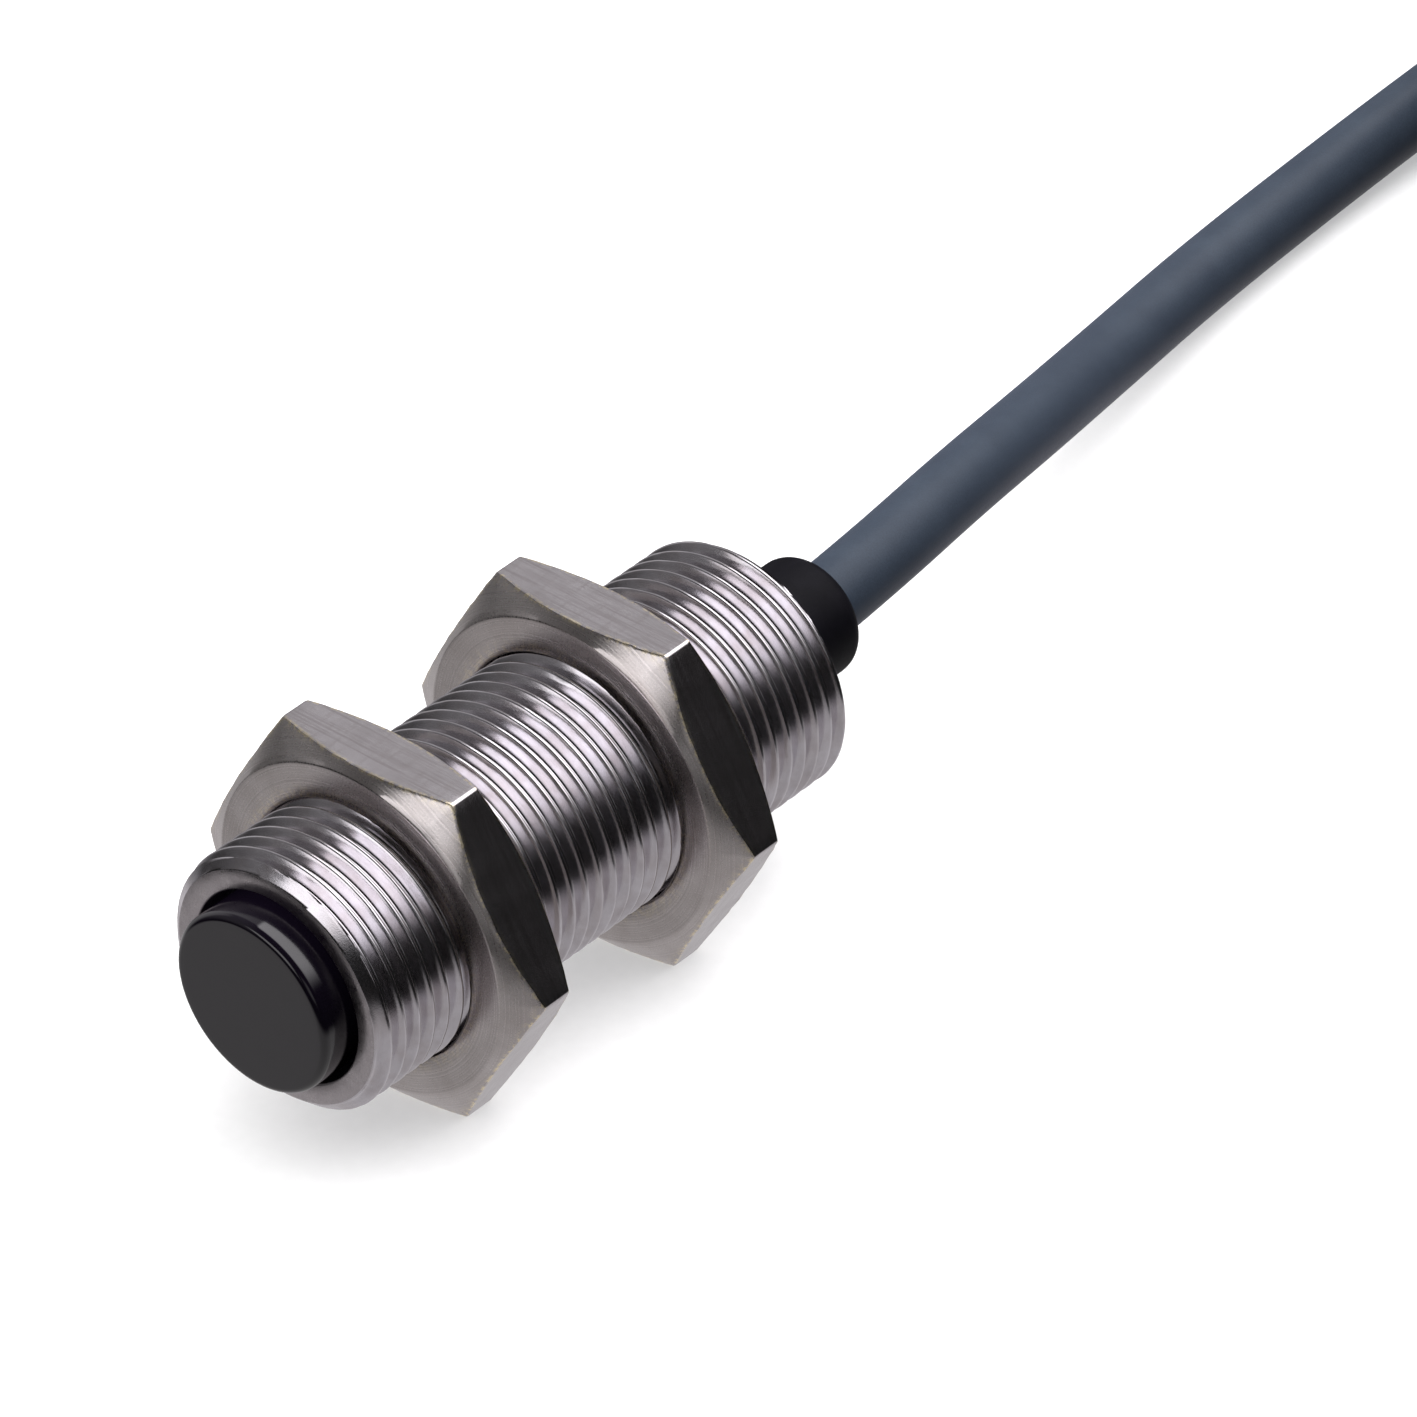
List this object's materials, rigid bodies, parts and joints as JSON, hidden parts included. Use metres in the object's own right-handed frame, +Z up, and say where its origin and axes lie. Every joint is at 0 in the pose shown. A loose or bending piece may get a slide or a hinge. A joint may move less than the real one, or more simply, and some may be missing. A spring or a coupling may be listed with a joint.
{
  "type": "photoelectric sensor",
  "caption": "Threaded cylindrical photoelectric sensor with a black optical window, hexagon jam nuts and a grey cable that leaves through a rubber grommet.",
  "frame": {"origin": "on the surface that the nuts stand on, under the middle of the sensor from window to grommet, cable left out", "axes": "+Y along the barrel from the window towards the cable, +Z up, +X to the right when looking along +Y"},
  "size_m": [0.0705, 0.1639, 0.019],
  "materials": {
    "steel": "machined stainless steel with a cut thread",
    "nickel": "nickel-plated brass with turning marks and brassy edges",
    "window": "glossy black plastic that passes infrared light",
    "seal": "soft black rubber",
    "black_plastic": "matt moulded plastic",
    "sheet_steel": "rolled sheet",
    "lens": "clear moulded lens",
    "diode_clear": "water-clear epoxy",
    "diode_dark": "dark tinted epoxy",
    "tinned": "tinned copper",
    "board": "green solder mask on glass-epoxy",
    "chip": "matt black moulding compound",
    "tantalum": "ochre moulded case",
    "ceramic": "tan ceramic with tinned ends",
    "brass_sheet": "thin drawn brass",
    "resin": "cast resin",
    "grommet": "matt black moulded rubber",
    "jacket": "slate-grey PVC jacket, slightly satin",
    "tie": "black nylon",
    "brown": "brown PVC insulation",
    "blue": "blue PVC insulation",
    "black": "black PVC insulation"
  },
  "bodies": {
    "barrel": {"barrel": "steel", "lens_cap": "window", "cap_seal_ring": "seal", "optics_carrier": "black_plastic", "light_barrier": "sheet_steel", "emitter_lens": "lens", "receiver_lens": "lens", "emitter_led": "diode_clear", "receiver_diode": "diode_dark", "emitter_leads": "tinned", "receiver_leads": "tinned", "circuit_board": "board", "amplifier_chip": "chip", "voltage_regulator": "chip", "output_transistor": "chip", "supply_capacitor": "tantalum", "chip_leads": "tinned", "chip_capacitors": "ceramic", "chip_resistors": "chip", "shield_sleeve": "brass_sheet", "potting_plug": "resin", "cable_clamp_ring": "brass_sheet", "cable_grommet": "grommet", "cable_end": "jacket", "brown_wire": "brown", "blue_wire": "blue", "black_wire": "black", "cable": "jacket", "cable_tail": "jacket", "cable_coil": "jacket", "coil_ties": "tie", "brown_core": "brown", "blue_core": "blue", "black_core": "black", "tinned_ends": "tinned"},
    "front_nut": {"front_nut": "nickel"},
    "rear_nut": {"rear_nut": "nickel"}
  },
  "joints": [
    {"name": "front_nut_travel", "type": "slide", "parent": "barrel", "child": "front_nut", "axis": [0, 1, 0], "range_m": [-0.005, 0.0055]},
    {"name": "rear_nut_travel", "type": "slide", "parent": "barrel", "child": "rear_nut", "axis": [0, 1, 0], "range_m": [-0.0055, 0.0082]}
  ]
}
